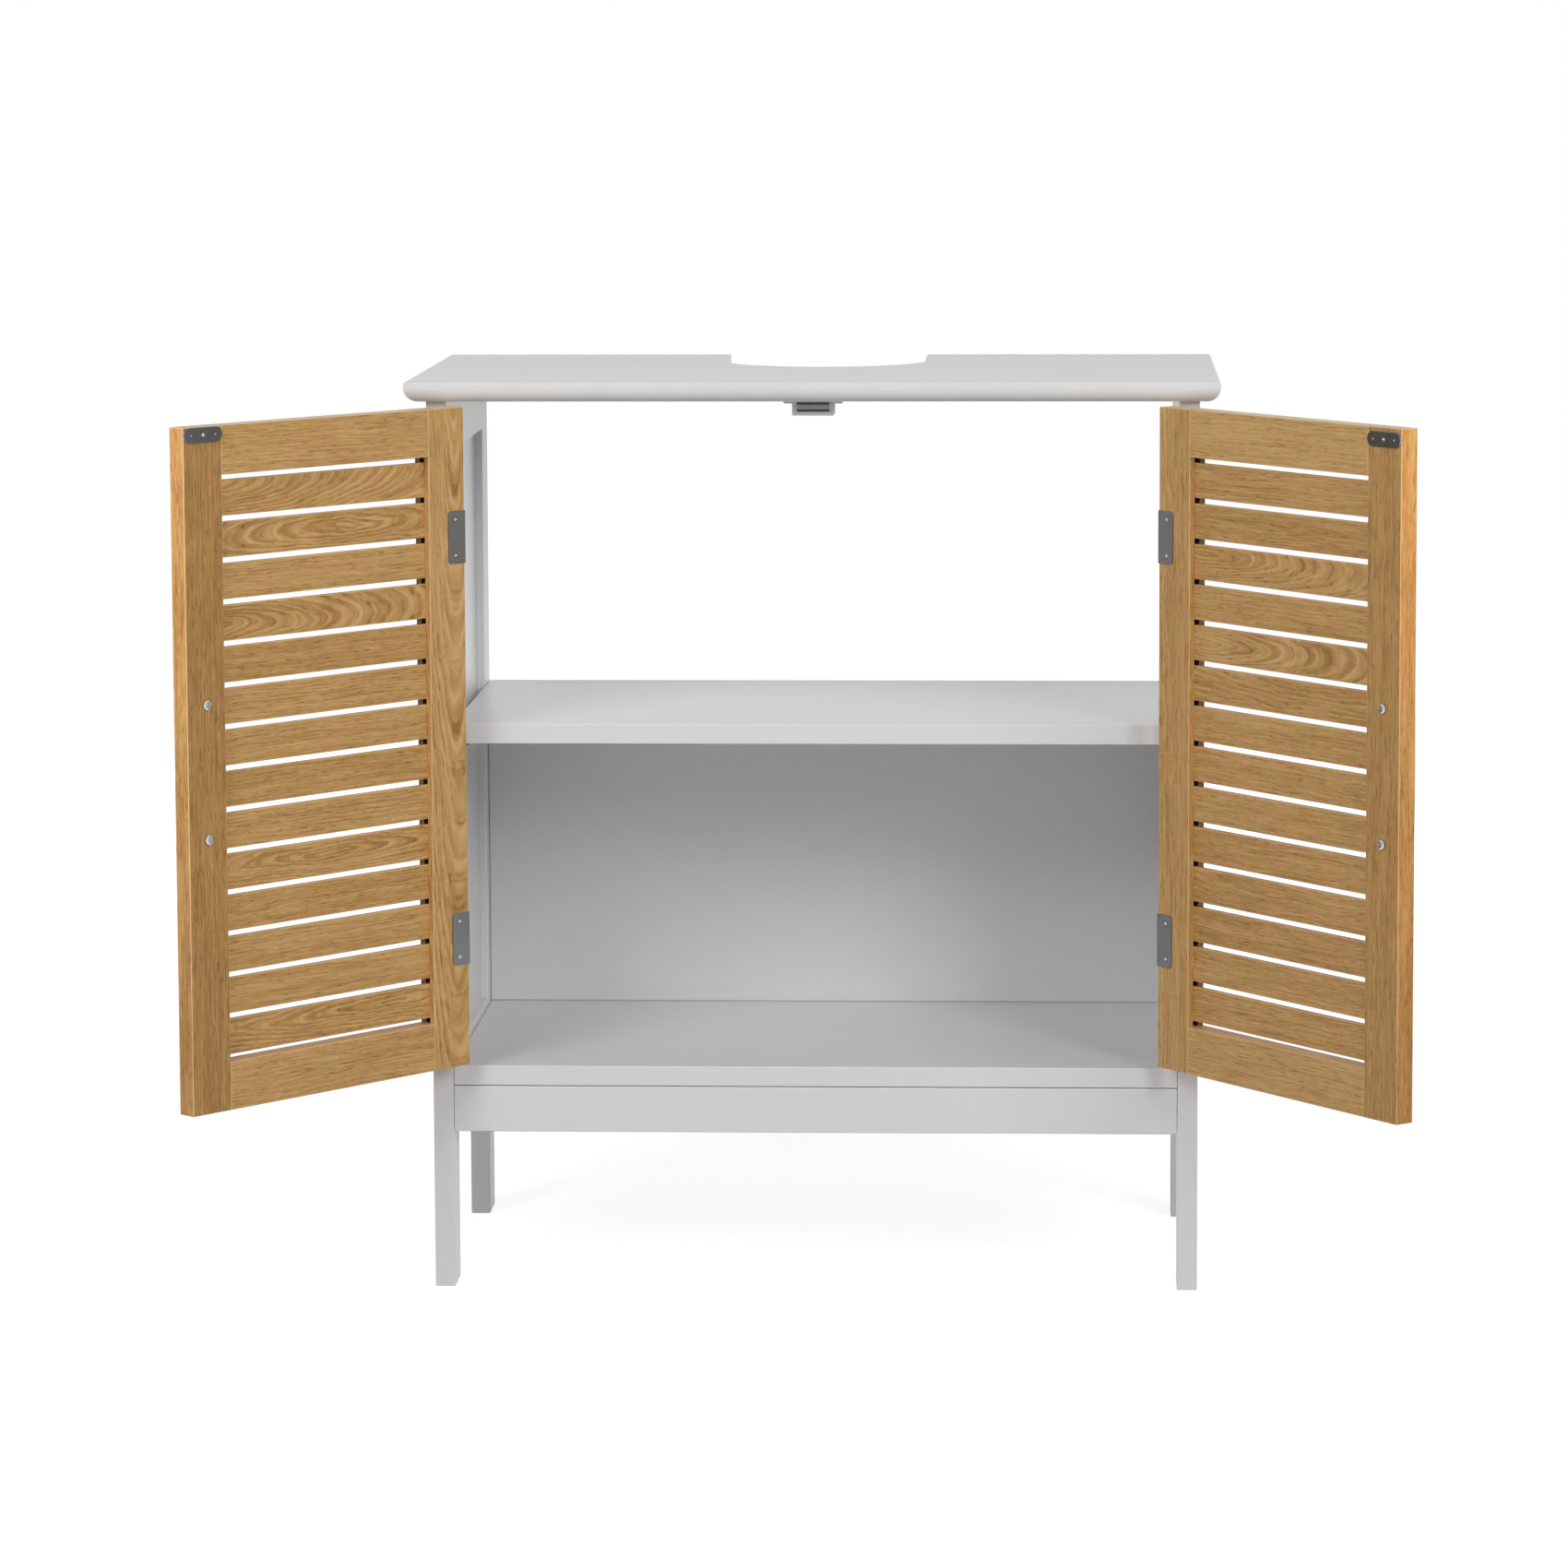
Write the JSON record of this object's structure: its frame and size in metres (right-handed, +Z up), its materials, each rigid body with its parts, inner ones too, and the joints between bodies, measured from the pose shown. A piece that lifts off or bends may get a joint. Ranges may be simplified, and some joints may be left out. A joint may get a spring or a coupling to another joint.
{
  "type": "louvred door cabinet",
  "caption": "Free-standing under-basin cabinet: painted frame and legs, top with a rear pipe cut-out, shelf, and a pair of framed doors with horizontal slats that swing open.",
  "frame": {"origin": "on the floor, at the centre of the four posts' footprint", "axes": "+X to the right seen from the front, +Y to the back towards the wall, +Z up"},
  "size_m": [0.8745, 0.5253, 0.68],
  "materials": {
    "white_lacquer": "satin paint on board",
    "oak_veneer": "oak foil, satin",
    "beech_dowel": "bare beech",
    "dark_nickel": "dark nickel plate",
    "bright_zinc": "bright zinc plate",
    "cast_zinc": "as cast",
    "satin_steel": "satin",
    "grey_plastic": "moulded",
    "magnet_ferrite": "ferrite",
    "pole_steel": "plain steel"
  },
  "bodies": {
    "cabinet": {"apron_dowels": "beech_dowel", "back_panel": "white_lacquer", "back_panel_dowels": "beech_dowel", "bottom_panel": "white_lacquer", "cam_bolts": "cast_zinc", "cam_locks": "cast_zinc", "catch_housing": "grey_plastic", "catch_magnet": "magnet_ferrite", "catch_pole_plates": "pole_steel", "catch_screws": "bright_zinc", "frame_hinge_screws": "bright_zinc", "front_apron": "white_lacquer", "hinge_pins": "bright_zinc", "left_front_post": "white_lacquer", "left_lower_hinge_frame_leaf": "dark_nickel", "left_rear_post": "white_lacquer", "left_side_bottom_rail": "white_lacquer", "left_side_panel": "white_lacquer", "left_side_top_rail": "white_lacquer", "left_upper_hinge_frame_leaf": "dark_nickel", "right_front_post": "white_lacquer", "right_lower_hinge_frame_leaf": "dark_nickel", "right_rear_post": "white_lacquer", "right_side_bottom_rail": "white_lacquer", "right_side_panel": "white_lacquer", "right_side_top_rail": "white_lacquer", "right_upper_hinge_frame_leaf": "dark_nickel", "shelf": "white_lacquer", "shelf_supports": "bright_zinc", "side_frame_dowels": "beech_dowel", "top_dowels": "beech_dowel", "top_panel": "white_lacquer"},
    "left_door": {"left_door_bottom_rail": "oak_veneer", "left_door_handle": "satin_steel", "left_door_handle_screws": "bright_zinc", "left_door_hinge_screws": "bright_zinc", "left_door_hinge_stile": "oak_veneer", "left_door_lower_hinge_leaf": "dark_nickel", "left_door_meeting_stile": "oak_veneer", "left_door_slats": "oak_veneer", "left_door_strike_plate": "dark_nickel", "left_door_strike_screw": "bright_zinc", "left_door_top_rail": "oak_veneer", "left_door_upper_hinge_leaf": "dark_nickel"},
    "right_door": {"right_door_bottom_rail": "oak_veneer", "right_door_handle": "satin_steel", "right_door_handle_screws": "bright_zinc", "right_door_hinge_screws": "bright_zinc", "right_door_hinge_stile": "oak_veneer", "right_door_lower_hinge_leaf": "dark_nickel", "right_door_meeting_stile": "oak_veneer", "right_door_slats": "oak_veneer", "right_door_strike_plate": "dark_nickel", "right_door_strike_screw": "bright_zinc", "right_door_top_rail": "oak_veneer", "right_door_upper_hinge_leaf": "dark_nickel"}
  },
  "joints": [
    {"name": "left_door_hinge", "type": "hinge", "parent": "cabinet", "child": "left_door", "pos_m": [-0.2688, -0.1455, 0.417], "axis": [0, 0, -1], "range_deg": [-131, 34]},
    {"name": "right_door_hinge", "type": "hinge", "parent": "cabinet", "child": "right_door", "pos_m": [0.2688, -0.1455, 0.417], "axis": [0, 0, 1], "range_deg": [-128, 37]}
  ]
}
